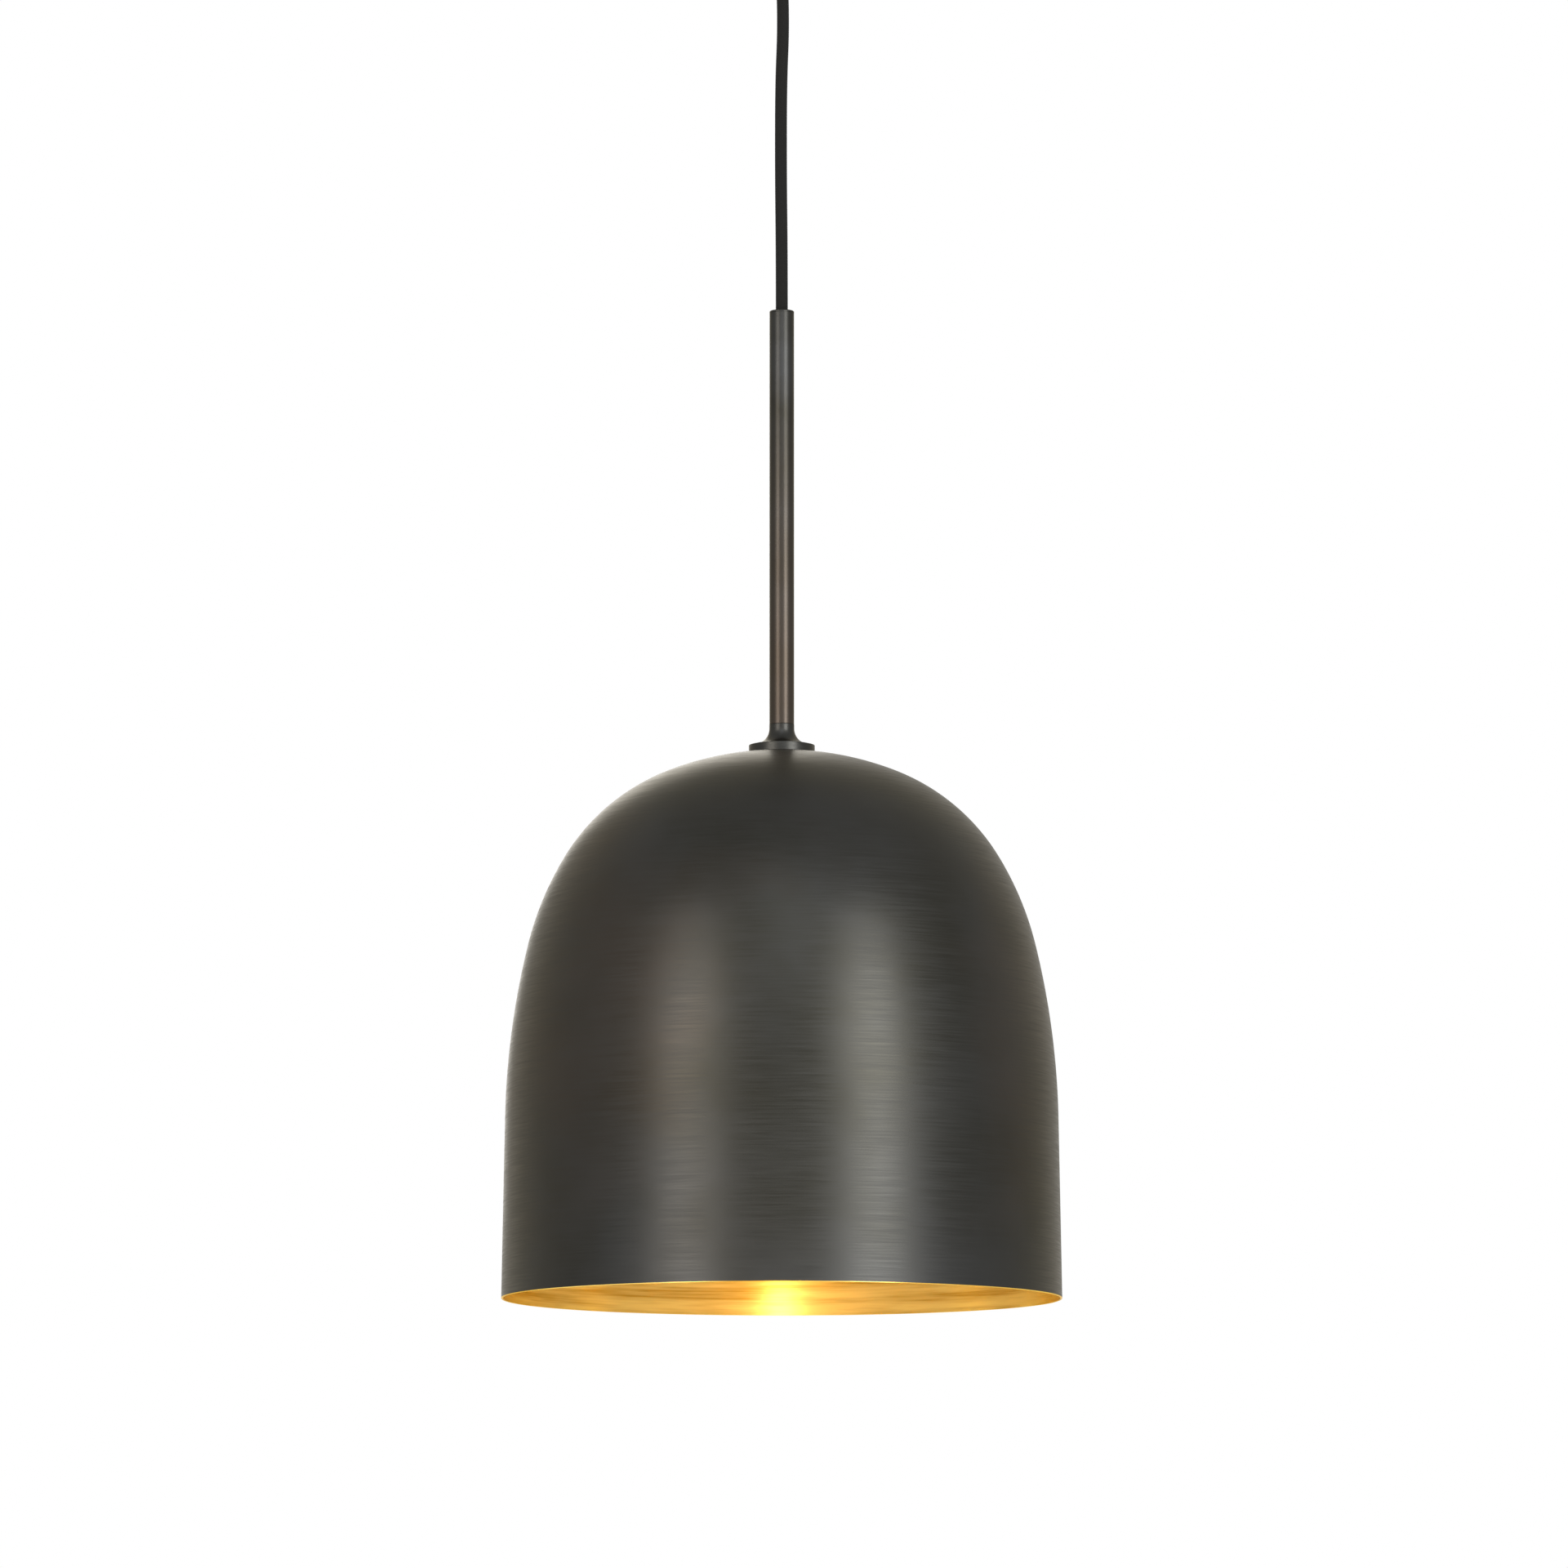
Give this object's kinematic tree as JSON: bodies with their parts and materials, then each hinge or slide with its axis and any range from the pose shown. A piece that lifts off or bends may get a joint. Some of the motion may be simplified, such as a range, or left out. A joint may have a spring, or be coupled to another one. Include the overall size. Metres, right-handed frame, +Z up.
{
  "type": "pendant ceiling light",
  "caption": "Bell-shaped dark bronze pendant light with a brushed brass inside, on a slim stem and a cloth cord from a round ceiling canopy.",
  "frame": {"origin": "centre of the ceiling bracket's slotted hole pattern, on the bracket's top face, which lies on the ceiling", "axes": "+Z up into the ceiling, the light hangs along -Z; +X along the bracket's strap"},
  "size_m": [0.3, 0.3, 0.8],
  "materials": {
    "dark_bronze": "dark bronze patina on spun metal, fine brushed lines, satin",
    "brushed_brass": "brushed brass, lines round the axis, satin",
    "plain_brass": "turned brass, bright",
    "zinc_steel": "zinc plated steel, satin",
    "white_nylon": "moulded nylon, matt",
    "black_nylon": "moulded nylon, matt",
    "white_ceramic": "glazed porcelain",
    "cord_cloth": "braided cloth over the flex, near black",
    "brown_core": "PVC insulation, brown",
    "blue_core": "PVC insulation, blue",
    "earth_core": "PVC insulation, green and yellow",
    "opal_glass": "opal white glass, lit warm",
    "clear_glass": "clear glass",
    "black_glass": "black vitrite glass, gloss",
    "bulb_nickel": "nickel plated cap, bright",
    "filament": "amber coated light-emitting strip"
  },
  "bodies": {
    "ceiling": {"ceiling_bracket": "zinc_steel", "terminal_block": "white_nylon", "terminal_barrels": "plain_brass", "terminal_screws": "zinc_steel", "block_fixing_screw": "zinc_steel", "bracket_earth_screw": "plain_brass", "earth_tag": "plain_brass", "canopy_side_screws": "dark_bronze"},
    "canopy": {"ceiling_canopy": "dark_bronze", "cord_grip": "dark_bronze", "grip_clamp_screw": "black_nylon", "grip_washer": "zinc_steel", "grip_nut": "plain_brass", "live_core": "brown_core", "neutral_core": "blue_core", "earth_core": "earth_core"},
    "cord_top": {"cord_in_grip": "cord_cloth"},
    "pendant": {"hanging_cord": "cord_cloth", "stem_cord": "cord_cloth", "stem_cap": "dark_bronze", "cord_lock_bush": "white_nylon", "stem_tube": "dark_bronze", "flared_coupler": "dark_bronze", "threaded_nipple": "zinc_steel", "cover_disc": "dark_bronze", "shade": "dark_bronze", "shade_washer": "zinc_steel", "shade_nut": "plain_brass", "holder_cap": "brushed_brass", "holder_skirt": "brushed_brass", "holder_insert": "white_ceramic", "holder_screw_shell": "plain_brass", "holder_centre_contact": "plain_brass", "holder_side_contact": "plain_brass", "holder_terminals": "plain_brass", "holder_terminal_screws": "zinc_steel", "holder_earth_screw": "zinc_steel", "holder_live_core": "brown_core", "holder_neutral_core": "blue_core", "holder_earth_core": "earth_core"},
    "bulb_tip": {"bulb_contact_tip": "zinc_steel"},
    "bulb": {"bulb_globe": "opal_glass", "bulb_cap": "bulb_nickel", "bulb_cap_glass": "black_glass", "bulb_mount": "clear_glass", "bulb_filaments": "filament"}
  },
  "joints": [
    {"name": "canopy_drop", "type": "slide", "parent": "ceiling", "child": "canopy", "axis": [0, 0, -1], "range_m": [0, 0.04], "deforming": ["live_core", "neutral_core", "earth_core"]},
    {"name": "cord_twist", "type": "hinge", "parent": "canopy", "child": "cord_top", "pos_m": [0, 0, -0.054], "axis": [0, 0, 1], "range_deg": [-90, 90], "stiffness_Nm_per_rad": 0.03},
    {"name": "cord_swing", "type": "hinge", "parent": "cord_top", "child": "pendant", "pos_m": [0, 0, -0.054], "axis": [0, 1, 0], "range_deg": [-30, 30]},
    {"name": "bulb_draw", "type": "slide", "parent": "pendant", "child": "bulb_tip", "axis": [0, 0, -1], "range_m": [0, 0.01633]},
    {"name": "bulb_turn", "type": "hinge", "parent": "bulb_tip", "child": "bulb", "pos_m": [0, 0, -0.5574], "axis": [0, 0, -1], "range_deg": [0, 1620]}
  ],
  "couplings": [
    {"joint": "bulb_turn", "follows": "bulb_draw", "rad_per_m": 1731.4}
  ]
}
